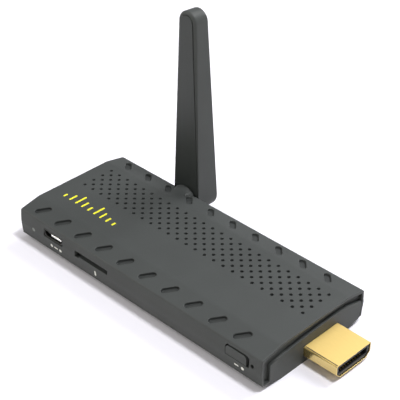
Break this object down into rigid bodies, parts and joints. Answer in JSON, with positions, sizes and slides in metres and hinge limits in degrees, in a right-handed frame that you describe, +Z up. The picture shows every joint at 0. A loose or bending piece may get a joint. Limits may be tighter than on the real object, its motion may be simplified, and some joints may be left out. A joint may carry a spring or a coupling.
{
  "type": "streaming stick",
  "caption": "Flat plastic streaming stick with a video plug at one end, a swivelling aerial, side sockets, a push button and a perforated, slotted top.",
  "frame": {"origin": "middle of the flat underside, halfway along the case without its plug", "axes": "+X towards the video plug, +Y towards the aerial's side, +Z up through the perforated top"},
  "size_m": [0.1053, 0.0487, 0.068],
  "materials": {
    "case_plastic": "fine satin texture, dark grey",
    "dark_plastic": "fine satin texture, near black grey",
    "black_plastic": "moulded connector plastic",
    "gold_plate": "gold plated, polished",
    "connector_steel": "tinned sheet",
    "hard_steel": "plain steel",
    "board_laminate": "green solder mask",
    "chip_resin": "moulded resin",
    "spreader_metal": "plain sheet",
    "soft_pad": "soft silicone",
    "clear_plastic": "clear, frosted tip",
    "washer_nylon": "nylon",
    "cable_jacket": "smooth jacket",
    "capacitor_ceramic": "ceramic"
  },
  "bodies": {
    "case": {"top_cover": "case_plastic", "bottom_cover": "case_plastic", "main_board": "board_laminate", "board_screws": "hard_steel", "video_plug_shell": "gold_plate", "video_plug_insulator": "black_plastic", "video_plug_contacts": "gold_plate", "power_socket_shell": "connector_steel", "power_socket_tongue": "black_plastic", "card_socket_frame": "black_plastic", "card_socket_cover": "connector_steel", "card_socket_contacts": "gold_plate", "host_socket_shell": "connector_steel", "host_socket_tongue": "black_plastic", "host_socket_contacts": "gold_plate", "function_switch": "black_plastic", "reset_switch": "black_plastic", "status_led": "clear_plastic", "light_pipe": "clear_plastic", "hinge_washer": "washer_nylon", "coax_lead": "cable_jacket", "coax_plug": "gold_plate", "processor": "chip_resin", "thermal_pad": "soft_pad", "heat_spreader": "spreader_metal", "memory_chips": "chip_resin", "flash_chip": "chip_resin", "power_chip": "chip_resin", "clock_crystal": "connector_steel", "radio_module": "connector_steel", "power_coils": "black_plastic", "capacitors": "capacitor_ceramic"},
    "aerial": {"aerial_housing": "case_plastic", "aerial_panel": "dark_plastic", "hinge_shaft": "hard_steel", "hinge_clip": "hard_steel", "aerial_sleeve": "gold_plate", "aerial_wire": "gold_plate", "aerial_feed": "cable_jacket"},
    "button": {"function_button": "case_plastic", "function_plunger": "black_plastic"},
    "reset": {"reset_plunger": "black_plastic"}
  },
  "joints": [
    {"name": "aerial_hinge", "type": "hinge", "parent": "case", "child": "aerial", "pos_m": [-0.0202, 0.0205, 0.0073], "axis": [0, 1, 0], "range_deg": [-90, 90]},
    {"name": "button_press", "type": "slide", "parent": "case", "child": "button", "axis": [0, 1, 0], "range_m": [0, 0.0004], "stiffness_N_per_m": 1500},
    {"name": "reset_press", "type": "slide", "parent": "case", "child": "reset", "axis": [0, 1, 0], "range_m": [0, 0.00025], "stiffness_N_per_m": 1500}
  ]
}
